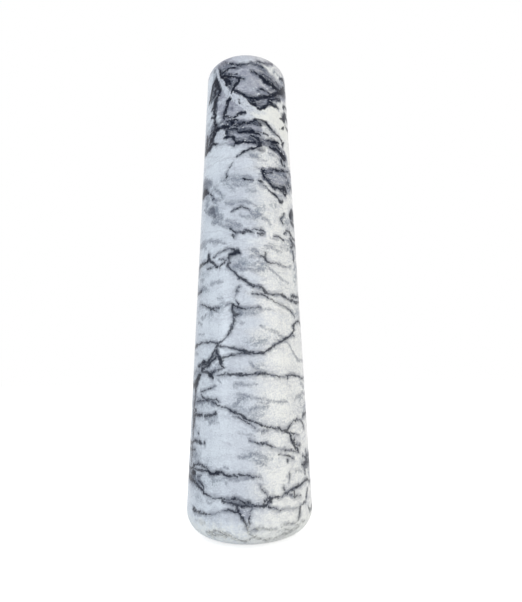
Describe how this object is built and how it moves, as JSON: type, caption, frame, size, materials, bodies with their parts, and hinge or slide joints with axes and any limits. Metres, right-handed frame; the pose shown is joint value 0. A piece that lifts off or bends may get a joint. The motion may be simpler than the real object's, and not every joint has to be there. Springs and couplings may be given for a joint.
{
  "type": "pestle",
  "caption": "Marble pestle: a solid tapered round bar with a crowned narrow end and a wider, rounded grinding end on which it stands.",
  "frame": {"origin": "centre of the resting face, in the middle of the wide end", "axes": "+Z along the pestle's axis, from the wide end up to the narrow end"},
  "size_m": [0.045, 0.045, 0.18],
  "materials": {
    "marble": "polished, white with blue-black veins"
  },
  "bodies": {
    "root": {"pestle": "marble"}
  },
  "joints": []
}
